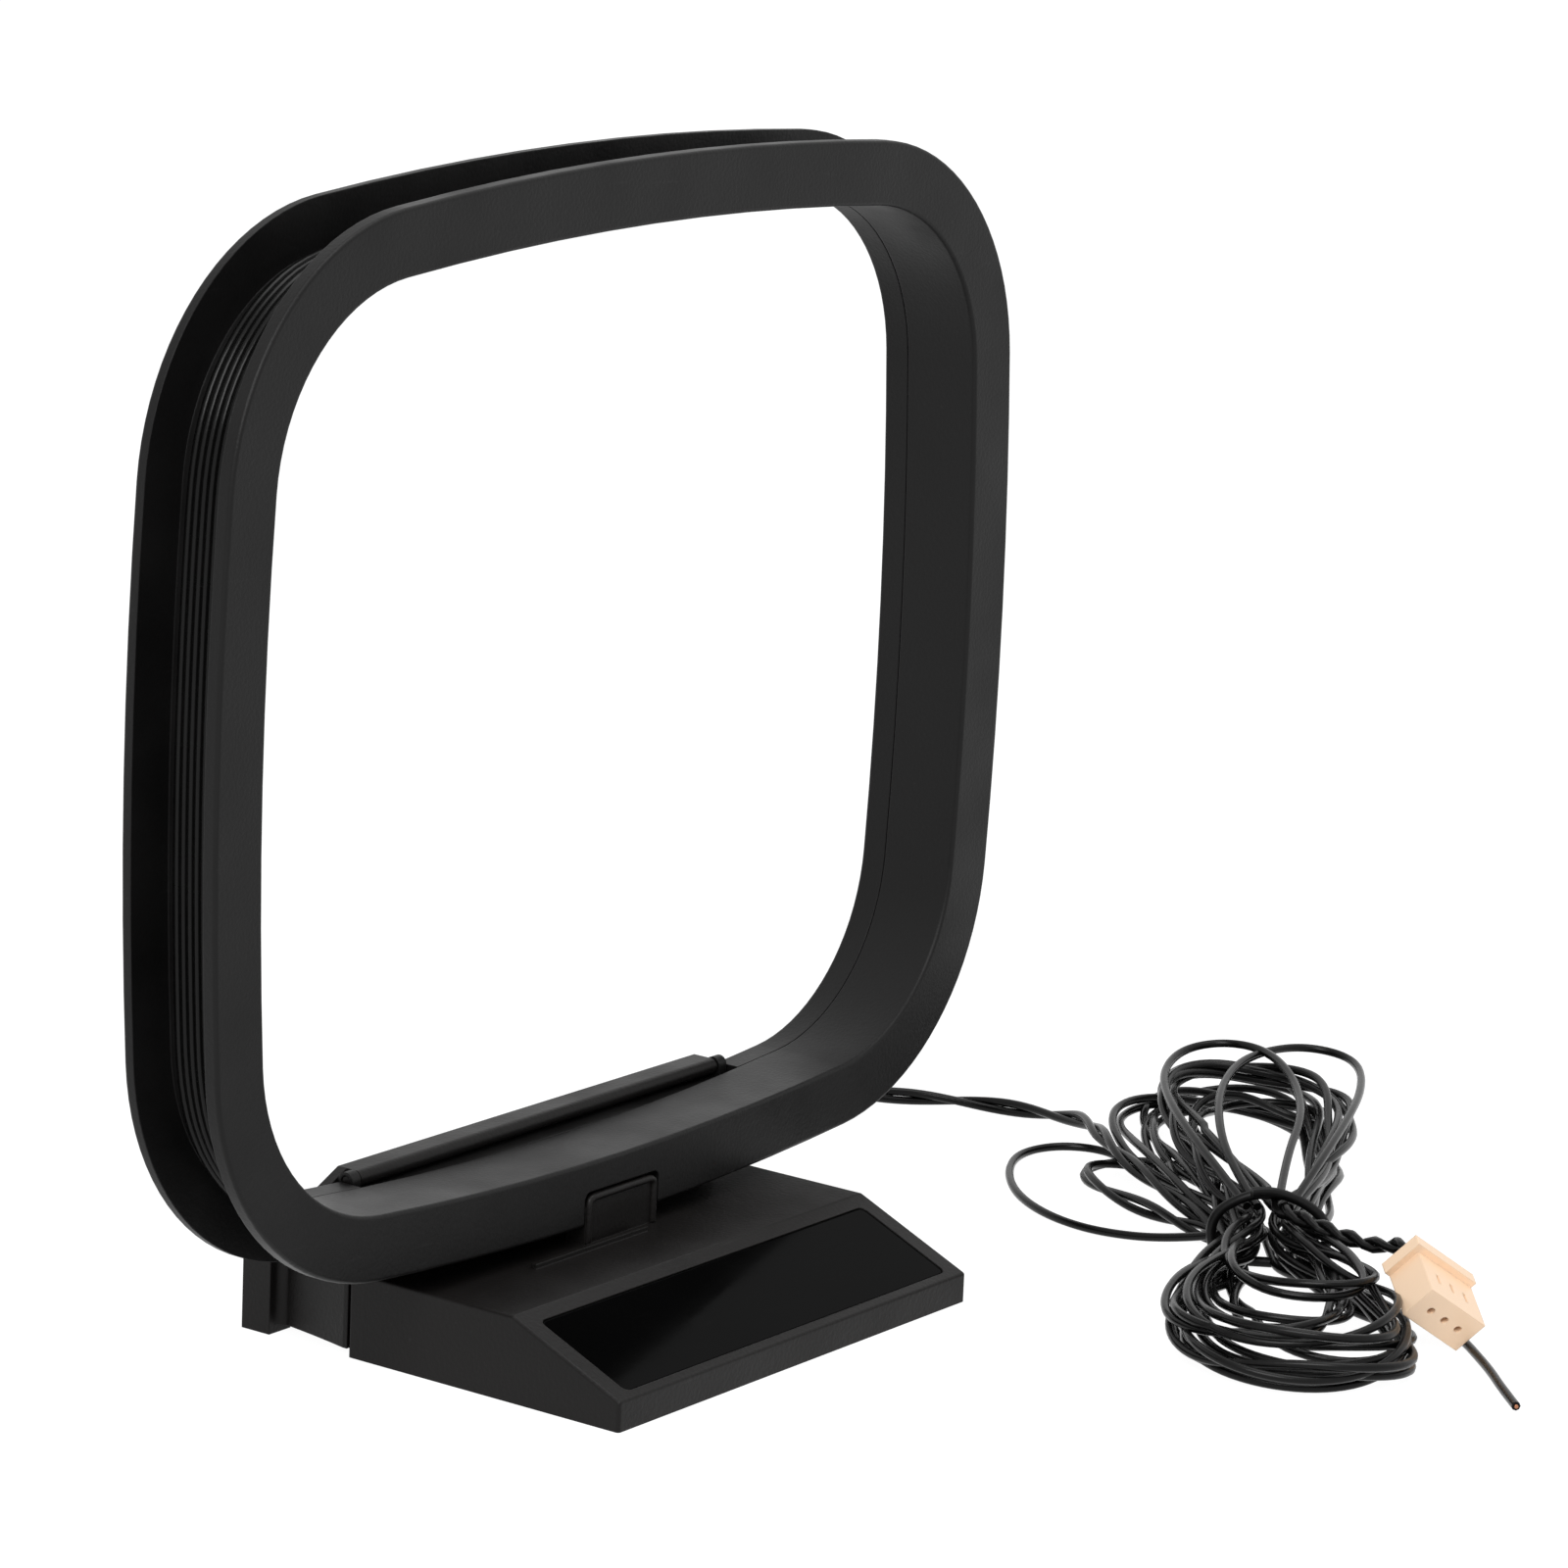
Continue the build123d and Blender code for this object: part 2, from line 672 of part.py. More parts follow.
heading = radians(plug_heading)
dip = radians(plug_dip)
lean = radians(plug_lean)
mate_way = Vector(cos(heading) * cos(dip), sin(heading) * cos(dip), -sin(dip))
level_way = Vector(-sin(heading), cos(heading), 0)
row_way = level_way * cos(lean) - mate_way.cross(level_way) * sin(lean)
face_way = mate_way.cross(row_way)
plug_width = (plug_ways - 1) * plug_pitch + 2 * plug_end_margin
corner_drop = (face_way.Z * plug_thickness - mate_way.Z * plug_length - row_way.Z * plug_width) / 2
plug_lift = floor_clearance + corner_drop
plug_plane = Plane(plug_centre + Vector(0, 0, plug_lift), x_dir=mate_way, z_dir=face_way)
way_offsets = [(i - (plug_ways - 1) / 2) * plug_pitch for i in range(plug_ways)]
cavity_size = 2 * plug_bore_radius
cavity_depth = plug_length - plug_face_wall
rear_face = Plane(plug_plane.origin - mate_way * (plug_length / 2), x_dir=row_way, z_dir=mate_way)

with BuildPart() as plug_housing:
    with BuildSketch(plug_plane.offset(-plug_thickness / 2)):
        Rectangle(plug_length, plug_width)
    extrude(amount=plug_thickness)
    with BuildSketch(rear_face):
        with Locations((-plug_rim / 2, plug_rim / 2)):
            Rectangle(plug_width + plug_rim, plug_thickness + plug_rim)
    extrude(amount=plug_rim_width)
    with BuildSketch(rear_face):
        with Locations(*[(offset, 0) for offset in way_offsets]):
            Rectangle(cavity_size, cavity_size)
    extrude(amount=cavity_depth, mode=Mode.SUBTRACT)
    with BuildSketch(rear_face):
        with Locations(*[(offset, 0) for offset in way_offsets]):
            Circle(plug_hole_radius)
    extrude(amount=plug_length + 1, mode=Mode.SUBTRACT)
    with BuildSketch(plug_plane.offset(plug_thickness / 2 + 0.5)):
        with Locations(*[(plug_length / 2 - plug_window_setback, offset) for offset in way_offsets]):
            Rectangle(plug_window_length, plug_window)
    extrude(amount=-(plug_thickness / 2 + 0.5 - plug_bore_radius + 0.2), mode=Mode.SUBTRACT)
finish(plug_housing, "plug_housing")

contact_size = cavity_size - 2 * contact_clearance
for number, offset in enumerate(way_offsets, start=1):
    with BuildPart() as contact:
        with BuildSketch(rear_face.offset(cavity_depth - contact_length)):
            with Locations((offset, 0)):
                Rectangle(contact_size, contact_size)
                Circle(plug_hole_radius, mode=Mode.SUBTRACT)
        extrude(amount=contact_length)
    finish(contact, "plug_contact_" + str(number))


# Free stretches of the lead

lead_start = Vector(exit_x, loop_rear + 0.45, exit_height)

with BuildPart() as lead:
    with BuildLine() as lead_path:
        cord_path("lead", [
            lead_start,
            lead_start + Vector(0, 4.4, -0.2),
            lead_start + Vector(3.6, 10.4, -2.2),
            Vector(51.8, 24.6, 8.2),
            Vector(61.6, 26.2, 5.4),
            Vector(71.6, 25.2, 3.2),
            Vector(80.0, 20.8, 2.0),
            Vector(84.8, 13.8, 1.6),
            Vector(85.6, 5.8, 1.6),
            Vector(82.0, -1.9, 2.2),
            hank_point(31.0, 15.4, 2.3),
            hank_point(22.0, 12.6, 2.2),
            hank_point(13.5, 9.0, 1.9),
            hank_start + hank_along * 4.2,
            hank_start,
        ])
    tube(lead_path, pair_diameter)
check_volume("lead", lead, lead_path, pair_diameter)
finish(lead, "lead")

plug_rear = plug_plane.from_local_coords((-plug_length / 2, 0, 0))

with BuildPart() as plug_tail:
    with BuildLine() as plug_tail_path:
        cord_path("plug_tail", [
            hank_end,
            hank_end - hank_along * 2.66,
            hank_point(-8.4, 5.0, 9.9),
            hank_point(-11.4, 2.2, 11.2),
            hank_point(-12.0, -3.0, 11.4),
            hank_point(-9.2, -8.4, 10.8),
            Vector(56.2, -53.2, 10.0),
            Vector(56.1, -56.6, 9.2),
            plug_rear - mate_way * 4.0,
            plug_rear,
        ])
    tube(plug_tail_path, pair_diameter)
check_volume("plug_tail", plug_tail, plug_tail_path, pair_diameter)
finish(plug_tail, "plug_tail")

stray_start = plug_rear + row_way * plug_pitch
wire_floor = wire_radius + floor_clearance

with BuildPart() as stray_wire:
    with BuildLine() as stray_path:
        cord_path("stray_wire", [
            stray_start,
            stray_start - mate_way * 3.4,
            Vector(56.1, -59.8, 7.0),
            Vector(57.4, -58.3, 5.6),
            Vector(57.9, -57.8, 3.2),
            Vector(57.2, -58.6, 1.2),
            Vector(55.4, -60.3, wire_floor),
            Vector(48.9, -65.0, wire_floor),
            Vector(44.7, -69.7, wire_floor),
            Vector(41.0, -75.8, wire_floor),
            Vector(36.3, -82.5, wire_floor),
        ])
    tube(stray_path, wire_diameter)
finish(stray_wire, "stray_wire")

with BuildPart() as slack_loop:
    with BuildLine() as slack_path:
        cord_path("slack_loop", [
            hank_point(1.6, 6.9, 1.0),
            hank_point(4.6, 10.0, 0.6),
            hank_point(7.6, 15.2, wire_floor),
            hank_point(12.5, 20.6, wire_floor),
            hank_point(20.0, 24.2, wire_floor),
            hank_point(28.7, 25.3, wire_floor),
            hank_point(35.4, 24.2, wire_floor),
            hank_point(39.0, 20.6, wire_floor),
            hank_point(39.0, 16.2, wire_floor),
            hank_point(35.9, 13.0, wire_floor),
            hank_point(31.5, 11.8, wire_floor + 0.1),
        ])
    tube(slack_path, wire_diameter)
check_volume("slack_loop", slack_loop, slack_path, wire_diameter)
finish(slack_loop, "slack_loop")

upper_wire = hank_floor - pair_radius + hank_height + wire_radius + upper_clearance

with BuildPart() as right_loop:
    with BuildLine() as right_path:
        cord_path("right_loop", [
            hank_point(1.5, 1.0, upper_wire),
            hank_point(9.0, 2.4, upper_wire),
            hank_point(18.0, 3.2, upper_wire),
            hank_point(29.0, 3.2, upper_wire),
            hank_point(39.0, 1.6, upper_wire),
            hank_point(46.4, -1.6, upper_wire),
            hank_point(50.8, -6.0, upper_wire),
            hank_point(49.6, -10.6, upper_wire),
            hank_point(44.4, -12.3, upper_wire),
            hank_point(35.0, -12.0, upper_wire),
            hank_point(25.0, -10.2, upper_wire),
            hank_point(14.6, -7.4, upper_wire),
            hank_point(7.0, -5.0, upper_wire),
            hank_point(1.5, -3.8, upper_wire),
        ])
    tube(right_path, wire_diameter)
check_volume("right_loop", right_loop, right_path, wire_diameter)
finish(right_loop, "right_loop")

with BuildPart() as left_loop:
    with BuildLine() as left_path:
        cord_path("left_loop", [
            hank_point(1.5, 3.4, upper_wire),
            hank_point(11.0, 4.9, upper_wire),
            hank_point(23.0, 7.7, upper_wire),
            hank_point(34.4, 9.2, upper_wire),
            hank_point(43.0, 8.9, upper_wire + 0.1),
            hank_point(48.6, 6.8, upper_wire + 0.5),
            hank_point(50.4, 3.0, upper_wire + 1.0),
            hank_point(48.0, -0.8, upper_wire + 1.2),
            hank_point(42.0, -3.4, upper_wire + 1.2),
            hank_point(34.6, -5.4, upper_wire + 0.6),
            hank_point(24.0, -6.0, upper_wire + 0.1),
            hank_point(11.0, -3.8, upper_wire),
            hank_point(1.5, -1.8, upper_wire),
        ])
    tube(left_path, wire_diameter)
check_volume("left_loop", left_loop, left_path, wire_diameter)
finish(left_loop, "left_loop")
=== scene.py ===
import math

import bmesh
import bpy
from mathutils import Matrix, Vector


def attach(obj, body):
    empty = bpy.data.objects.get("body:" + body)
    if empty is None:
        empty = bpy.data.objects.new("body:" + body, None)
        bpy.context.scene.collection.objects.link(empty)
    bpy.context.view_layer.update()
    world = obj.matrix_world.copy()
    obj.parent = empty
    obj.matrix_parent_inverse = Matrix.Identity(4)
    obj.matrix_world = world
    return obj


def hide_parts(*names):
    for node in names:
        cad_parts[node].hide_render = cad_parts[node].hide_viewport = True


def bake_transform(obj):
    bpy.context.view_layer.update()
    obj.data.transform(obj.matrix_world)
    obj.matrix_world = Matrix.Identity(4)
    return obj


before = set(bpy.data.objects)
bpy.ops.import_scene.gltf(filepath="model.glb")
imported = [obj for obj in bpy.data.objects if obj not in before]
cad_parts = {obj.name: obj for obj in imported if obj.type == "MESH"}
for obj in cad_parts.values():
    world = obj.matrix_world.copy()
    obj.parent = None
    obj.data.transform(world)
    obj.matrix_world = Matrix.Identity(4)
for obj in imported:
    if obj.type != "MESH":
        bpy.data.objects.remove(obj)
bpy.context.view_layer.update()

MM = 0.001


# Camera

def place_camera(target, distance, azimuth, elevation, roll, lens):
    """A camera at the photograph's angle round the antenna."""
    camera_data = bpy.data.cameras.new("camera")
    camera = bpy.data.objects.new("camera", camera_data)
    bpy.context.collection.objects.link(camera)
    a = math.radians(azimuth)
    e = math.radians(elevation)
    back = Vector((math.sin(a) * math.cos(e), -math.cos(a) * math.cos(e), math.sin(e)))
    facing = back.to_track_quat("Z", "Y").to_matrix().to_4x4()
    camera.matrix_world = (Matrix.Translation(target + back * distance) @ facing
                           @ Matrix.Rotation(math.radians(roll), 4, "Z"))
    camera_data.sensor_width = 36
    camera_data.lens = lens
    camera_data.clip_start = 0.01
    camera_data.clip_end = 20
    bpy.context.scene.camera = camera


place_camera(target=Vector((-6.23, -23.3, 58.83)) * MM, distance=625.45 * MM, azimuth=-54, elevation=13.067,
             roll=2.409, lens=152.6)


# Effects shared by the materials

def new_group(name, inputs, outputs):
    """An empty shader group with named value inputs and outputs."""
    group = bpy.data.node_groups.new(name, "ShaderNodeTree")
    for label, default in inputs:
        socket = group.interface.new_socket(label, in_out="INPUT", socket_type="NodeSocketFloat")
        socket.default_value = default
    for label in outputs:
        group.interface.new_socket(label, in_out="OUTPUT", socket_type="NodeSocketFloat")
    return group, group.nodes.new("NodeGroupInput"), group.nodes.new("NodeGroupOutput")


def moulded_grain():
    """Fine spark-eroded grain of a plastic moulding, with slow unevenness and a few scuffs."""
    group, given, made = new_group("moulded_grain", [("Grain Scale", 3000), ("Scuff Amount", 0.5)],
                                   ["Height", "Unevenness", "Scuff"])
    nodes, link = group.nodes, group.links.new
    place = nodes.new("ShaderNodeTexCoord")

    grain = nodes.new("ShaderNodeTexNoise")
    grain.inputs["Detail"].default_value = 2
    link(place.outputs["Object"], grain.inputs["Vector"])
    link(given.outputs["Grain Scale"], grain.inputs["Scale"])
    link(grain.outputs["Fac"], made.inputs["Height"])

    slow = nodes.new("ShaderNodeTexNoise")
    slow.inputs["Scale"].default_value = 90
    slow.inputs["Detail"].default_value = 3
    link(place.outputs["Object"], slow.inputs["Vector"])
    link(slow.outputs["Fac"], made.inputs["Unevenness"])

    # Scuffs are the peaks of a noise that is drawn out along one slanting way
    streak_place = nodes.new("ShaderNodeMapping")
    streak_place.inputs["Rotation"].default_value = (0.4, 0.9, 0.3)
    streak_place.inputs["Scale"].default_value = (1, 9, 9)
    link(place.outputs["Object"], streak_place.inputs["Vector"])
    streak = nodes.new("ShaderNodeTexNoise")
    streak.inputs["Scale"].default_value = 160
    streak.inputs["Detail"].default_value = 4
    link(streak_place.outputs["Vector"], streak.inputs["Vector"])
    keep = nodes.new("ShaderNodeMapRange")
    keep.inputs["From Min"].default_value = 0.68
    keep.inputs["From Max"].default_value = 0.78
    link(streak.outputs["Fac"], keep.inputs["Value"])
    amount = nodes.new("ShaderNodeMath")
    amount.operation = "MULTIPLY"
    link(keep.outputs["Result"], amount.inputs[0])
    link(given.outputs["Scuff Amount"], amount.inputs[1])
    link(amount.outputs["Value"], made.inputs["Scuff"])
    return group


grain_group = moulded_grain()


def moulded(name, dark, light, roughness, grain_scale, grain_depth, scuff=0.0, specular=0.5, rough_spread=0.08,
            edge_round=0.00018, metal=False):
    """Two near tones, uneven gloss, grain, scuffs and soft edges."""
    material = bpy.data.materials.new(name)
    material.use_nodes = True
    nodes, link = material.node_tree.nodes, material.node_tree.links.new
    shader = nodes["Principled BSDF"]
    shader.inputs["Specular IOR Level"].default_value = specular
    if metal:
        shader.inputs["Metallic"].default_value = 1
    effect = nodes.new("ShaderNodeGroup")
    effect.node_tree = grain_group
    effect.inputs["Grain Scale"].default_value = grain_scale
    effect.inputs["Scuff Amount"].default_value = scuff

    tone = nodes.new("ShaderNodeMix")
    tone.data_type = "RGBA"
    tone.inputs["A"].default_value = (*dark, 1)
    tone.inputs["B"].default_value = (*light, 1)
    link(effect.outputs["Unevenness"], tone.inputs["Factor"])
    worn = nodes.new("ShaderNodeMix")
    worn.data_type = "RGBA"
    worn.inputs["B"].default_value = (*[2.2 * c + 0.01 for c in light], 1)
    link(tone.outputs["Result"], worn.inputs["A"])
    link(effect.outputs["Scuff"], worn.inputs["Factor"])
    link(worn.outputs["Result"], shader.inputs["Base Color"])

    gloss = nodes.new("ShaderNodeMapRange")
    gloss.inputs["From Min"].default_value = 0.3
    gloss.inputs["From Max"].default_value = 0.7
    gloss.inputs["To Min"].default_value = roughness - rough_spread
    gloss.inputs["To Max"].default_value = roughness + rough_spread
    link(effect.outputs["Unevenness"], gloss.inputs["Value"])
    link(gloss.outputs["Result"], shader.inputs["Roughness"])

    edge = nodes.new("ShaderNodeBevel")
    edge.samples = 6
    edge.inputs["Radius"].default_value = edge_round
    bump = nodes.new("ShaderNodeBump")
    link(edge.outputs["Normal"], bump.inputs["Normal"])
    bump.inputs["Strength"].default_value = 1
    bump.inputs["Distance"].default_value = grain_depth
    link(effect.outputs["Height"], bump.inputs["Height"])
    link(bump.outputs["Normal"], shader.inputs["Normal"])
    return material


frame_black = moulded("frame_black", (0.0030, 0.0029, 0.0029), (0.0062, 0.0060, 0.0059), roughness=0.44,
                      grain_scale=2600, grain_depth=0.00003, scuff=0.25, specular=0.19)
stand_black = moulded("stand_black", (0.0036, 0.0032, 0.0030), (0.0078, 0.0070, 0.0067), roughness=0.42,
                      grain_scale=2200, grain_depth=0.00003, scuff=0.3, specular=0.17)
plate_gloss = moulded("plate_gloss", (0.0012, 0.0012, 0.0012), (0.002, 0.002, 0.002), roughness=0.07,
                      grain_scale=700, grain_depth=0.000001, scuff=0.1, specular=0.02, rough_spread=0.03)
wire_cover = moulded("wire_cover", (0.0018, 0.0018, 0.0018), (0.0046, 0.0045, 0.0044), roughness=0.24,
                     grain_scale=1500, grain_depth=0.00001, scuff=0.2, specular=0.16, rough_spread=0.06,
                     edge_round=0.00002)
tie_black = moulded("tie_black", (0.0018, 0.0018, 0.0018), (0.004, 0.004, 0.004), roughness=0.4,
                    grain_scale=1800, grain_depth=0.00002, scuff=0.2, specular=0.16, edge_round=0.00002)
plug_beige = moulded("plug_beige", (0.93, 0.66, 0.44), (0.97, 0.74, 0.53), roughness=0.38,
                     grain_scale=1600, grain_depth=0.00001)
contact_metal = moulded("contact_metal", (0.55, 0.48, 0.36), (0.72, 0.66, 0.52), roughness=0.3,
                        grain_scale=2400, grain_depth=0.00001, metal=True)
tip_copper = moulded("tip_copper", (0.36, 0.15, 0.08), (0.5, 0.24, 0.14), roughness=0.36,
                    grain_scale=2400, grain_depth=0.00001, metal=True)

CAD_FINISHES = {
    "front_frame": frame_black,
    "rear_frame": frame_black,
    "stand_base": stand_black,
    "rear_bracket": stand_black,
    "front_plate": plate_gloss,
    "plug_housing": plug_beige,
    "plug_contact_1": contact_metal,
    "plug_contact_2": contact_metal,
    "plug_contact_3": contact_metal,
}
for node, finish in CAD_FINISHES.items():
    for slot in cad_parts[node].material_slots:
        slot.material = finish


# Wires

WIRE = 0.92 * MM
WOUND_WIRE = 0.82 * MM


def wire_curve(name, points, kind="NURBS", steps=6, thickness=0):
    """A curve object of one open spline along the points."""
    curve = bpy.data.curves.new(name, "CURVE")
    curve.dimensions = "3D"
    curve.resolution_u = steps
    curve.bevel_depth = thickness / 2
    curve.bevel_resolution = 2
    curve.use_fill_caps = True
    spline = curve.splines.new(kind)
    spline.points.add(len(points) - 1)
    for spot, point in zip(spline.points, points):
        spot.co = (*point, 1)
    if kind == "NURBS":
        spline.order_u = 3
        spline.use_endpoint_u = True
    piece = bpy.data.objects.new(name, curve)
    bpy.context.collection.objects.link(piece)
    return piece


def route_line(points, steps):
    """Points along the smooth route, read from its own spline."""
    holder = wire_curve("route", points, steps=steps)
    mesh = bpy.data.meshes.new_from_object(holder)
    line = [vertex.co.copy() for vertex in mesh.vertices]
    bpy.data.meshes.remove(mesh)
    bpy.data.objects.remove(holder)
    return line


def line_length(line):
    """Length of a line of points."""
    return sum((b - a).length for a, b in zip(line, line[1:]))


def even_line(line, step):
    """The same line with its points a step apart."""
    total = line_length(line)
    count = round(total / step)
    spots = [line[0]]
    passed = 0
    k = 1
    for a, b in zip(line, line[1:]):
        run = (b - a).length
        while k < count and passed + run >= total * k / count:
            spots.append(a.lerp(b, (total * k / count - passed) / run))
            k += 1
        passed += run
    spots.append(line[-1])
    return spots


def cross_axes(line):
    """Two directions across the line at each of its points, carried along it without twist."""
    axes = []
    way = (line[1] - line[0]).normalized()
    side = way.cross(Vector((0, 0, 1))).normalized()
    for i in range(len(line)):
        ahead = (line[min(i + 1, len(line) - 1)] - line[max(i - 1, 0)]).normalized()
        side = (side - ahead * side.dot(ahead)).normalized()
        axes.append((side, ahead.cross(side)))
    return axes


def twisted_pair(name, line, lay_at, apart_at):
    """Two wires laid round each other along a line, as one mesh."""
    total = line_length(line)
    strands = ([], [])
    turn = 0
    passed = 0
    for i, (spot, (side, up)) in enumerate(zip(line, cross_axes(line))):
        if i:
            run = (spot - line[i - 1]).length
            passed += run
            turn += 2 * math.pi * run / lay_at(passed, total)
        out = (side * math.cos(turn) + up * math.sin(turn)) * apart_at(passed, total)
        strands[0].append(spot + out)
        strands[1].append(spot - out)
    shape = bmesh.new()
    for strand in strands:
        holder = wire_curve("strand", strand, kind="POLY", thickness=WIRE)
        mesh = bpy.data.meshes.new_from_object(holder)
        shape.from_mesh(mesh)
        bpy.data.meshes.remove(mesh)
        bpy.data.objects.remove(holder)
    mesh = bpy.data.meshes.new(name)
    shape.to_mesh(mesh)
    shape.free()
    mesh.shade_smooth()
    piece = bpy.data.objects.new(name, mesh)
    bpy.context.collection.objects.link(piece)
    return piece


# Hank: eight turns laid in a figure of eight, tied at the waist. All in millimetres.

HANK_WAIST = Vector((59.25, -39.4, 0))
HANK_HEADING = math.radians(32.8)
HANK_ALONG = Vector((math.cos(HANK_HEADING), math.sin(HANK_HEADING), 0))
HANK_ACROSS = Vector((-HANK_ALONG.y, HANK_ALONG.x, 0))


def hank_spot(along, across, height):
    """A place given by how far it lies along and across the hank from its waist, and its height."""
    return HANK_WAIST + HANK_ALONG * along + HANK_ACROSS * across + Vector((0, 0, height))


# One side of a lobe, from its end to the waist. For each spot: its share of the lobe's reach, of its lean,
# of its half width, of the waist's half width and of the waist's height.
FAR_LOBE = [(1, 1, 0.45, 0, 0), (0.85, 1, 0.95, 0, 0), (0.56, 0.7, 0.86, 0, 0.4), (0.3, 0.3, 0.45, 0.5, 0.7),
            (0.07, 0, 0, 1, 1)]
NEAR_LOBE = [(1, 1, 0.42, 0, 0), (0.86, 1, 0.9, 0, 0), (0.6, 0.7, 0.93, 0, 0.3), (0.3, 0.3, 0.5, 0.45, 0.7),
             (0.07, 0, 0, 1, 1)]


def lobe_side(lobe, end, height, waist, side):
    """Spots of one side of a lobe, from its end to the waist; side is 1 on the left and -1 on the right."""
    reach, half_width, lean = end
    waist_half, waist_height = waist
    return [hank_spot(along * reach, leaning * lean + side * (width * half_width + narrow * waist_half),
                      (1 - low) * height + low * waist_height)
            for along, leaning, width, narrow, low in lobe]


def hank_turn(far_end, near_end, next_far_end, waist, far_height, near_height, back_height):
    """One turn of the hank: from its far end over the waist, round its near end and back to the next far end."""
    return (lobe_side(FAR_LOBE, far_end, far_height, waist, 1)
            + lobe_side(NEAR_LOBE, near_end, near_height, waist, 1)[::-1]
            + lobe_side(NEAR_LOBE, near_end, near_height, waist, -1)
            + lobe_side(FAR_LOBE, next_far_end, back_height, waist, -1)[::-1])


# Reach, half width and lean of each turn's far and near ends; a near end reaches the other way from the waist
far_ends = [(35.0, 8.0, 13.6), (30.0, 7.6, 13.0), (51.5, 9.4, 4.4), (56.0, 11.0, 3.0), (49.0, 12.2, 5.6),
            (45.0, 8.0, 0.4), (53.0, 8.8, 3.4), (47.0, 10.8, 1.2), (47.0, 10.2, 2.8)]
near_ends = [(-40.5, 12.0, -3.0), (-33.0, 8.2, -6.6), (-39.5, 10.6, -4.0), (-42.4, 12.4, -2.6), (-30.0, 7.4, -1.0),
             (-36.6, 8.8, 2.2), (-39.6, 10.8, -2.6), (-27.0, 7.2, -3.6)]
# Half the distance of the turn's two runs at the waist, and their height there
waists = [(0.9, 1.3), (2.7, 1.5), (4.3, 1.5), (0.9, 3.1), (2.7, 3.3), (4.1, 3.2), (0.9, 4.8), (2.7, 4.9)]
# Heights at the turn's far end, its near end and the end that it goes back to
end_heights = [(1.4, 1.3, 1.35), (1.7, 1.8, 2.3), (2.3, 2.3, 2.5), (3.0, 2.7, 3.0), (3.9, 3.6, 4.4), (5.4, 4.4, 5.6),
               (6.6, 5.2, 7.0), (8.0, 6.2, 8.2)]
hank_turns = [hank_turn(far_ends[k], near_ends[k], far_ends[k + 1], waists[k], *end_heights[k])
              for k in range(len(near_ends))]


# Lead: from the notch in the loop's rear flange to the hank, through its turns and on to the plug

lead_route = [Vector(p) for p in (
    (41.0, 10.65, 13.4), (41.0, 15.05, 13.2), (44.6, 21.05, 11.2), (51.8, 24.6, 8.2), (61.6, 26.2, 5.4),
    (71.6, 25.2, 3.2), (80.0, 20.8, 2.0), (84.8, 13.8, 1.6), (85.6, 5.8, 1.8), (82.0, -1.9, 3.4),
)]
lead_route += [hank_spot(*spot) for spot in ((31.0, 17.7, 4.2), (22.0, 14.4, 3.7), (13.5, 9.6, 2.9))]
lead_route += hank_turns[0][len(FAR_LOBE):]
for spots in hank_turns[1:]:
    lead_route += spots
lead_route += [hank_spot(*spot) for spot in (
    (47.0, 7.4, 8.2), (39.0, 11.6, 8.0), (25.0, 8.0, 7.4), (12.0, 2.8, 6.9), (4.0, 0.2, 6.6), (-1.4, -0.9, 6.7),
    (-4.8, -3.4, 6.8), (-7.6, -6.8, 6.3), (-10.6, -10.2, 6.2), (-12.8, -12.6, 7.1),
)]
lead_route += [Vector(p) for p in ((53.33, -60.43, 8.09), (50.84, -63.15, 6.54))]
lead_line = even_line(route_line([p * MM for p in lead_route], 8), 1.0 * MM)

FREE_RUN = 150 * MM
PLUG_RUN = 30 * MM


def lay_at(passed, total):
    """Length of one turn of the two wires round each other: tight near the plug, long and uneven in the hank."""
    if passed > total - PLUG_RUN:
        return 6.4 * MM
    quick_wave = math.sin(passed / (17 * MM))
    if passed < FREE_RUN:
        return (25 + 3 * quick_wave) * MM
    return (34 + 9 * math.sin(passed / (61 * MM)) + 5 * quick_wave) * MM


CLOSE_AT_LOOP = 120 * MM
CLOSE_AT_PLUG = 50 * MM


def apart_at(passed, total):
    """Half the distance of the two wires: they touch at both ends and lie a little open in the hank."""
    if passed < CLOSE_AT_LOOP or passed > total - CLOSE_AT_PLUG:
        return WIRE / 2
    return (0.62 + 0.14 * math.sin(passed / (23 * MM))) * MM


tie_ring = wire_curve("tie_ring", [hank_spot(*spot) * MM for spot in (
    (0.3, -1.6, 7.75), (0.0, 0.8, 8.0), (-0.1, 3.2, 7.3), (0.0, 5.6, 5.6), (0.1, 6.1, 3.0), (0.0, 4.9, 0.7),
    (0.0, 1.8, 0.62), (0.0, -1.8, 0.62), (0.0, -4.9, 0.7), (-0.1, -6.1, 3.0), (0.0, -5.6, 5.6), (0.0, -3.4, 7.2),
    (-0.3, -1.0, 8.1), (-0.8, 0.8, 8.4), (-1.2, 2.0, 8.3),
)], thickness=1.1 * MM, steps=8)
tie_ring.data.materials.append(tie_black)
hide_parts("hank_tie")
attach(tie_ring, "stand")

# The pair's first centimetre runs between the loop and the stand
lead_pair = twisted_pair("lead_pair", lead_line, lay_at, apart_at)
lead_pair.data.materials.append(wire_cover)
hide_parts("lead", "lead_hank", "plug_tail")
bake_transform(lead_pair)


# Loose single wires: three loops beside and over the hank, and the end beside the plug

def single_wire(name, node, spots):
    """A loose single wire of the lead, in place of its CAD node."""
    wire = wire_curve(name, [spot * MM for spot in spots], thickness=WIRE, steps=8)
    wire.data.materials.append(wire_cover)
    length = line_length(route_line([spot * MM for spot in spots], 8))
    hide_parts(node)
    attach(wire, "stand")


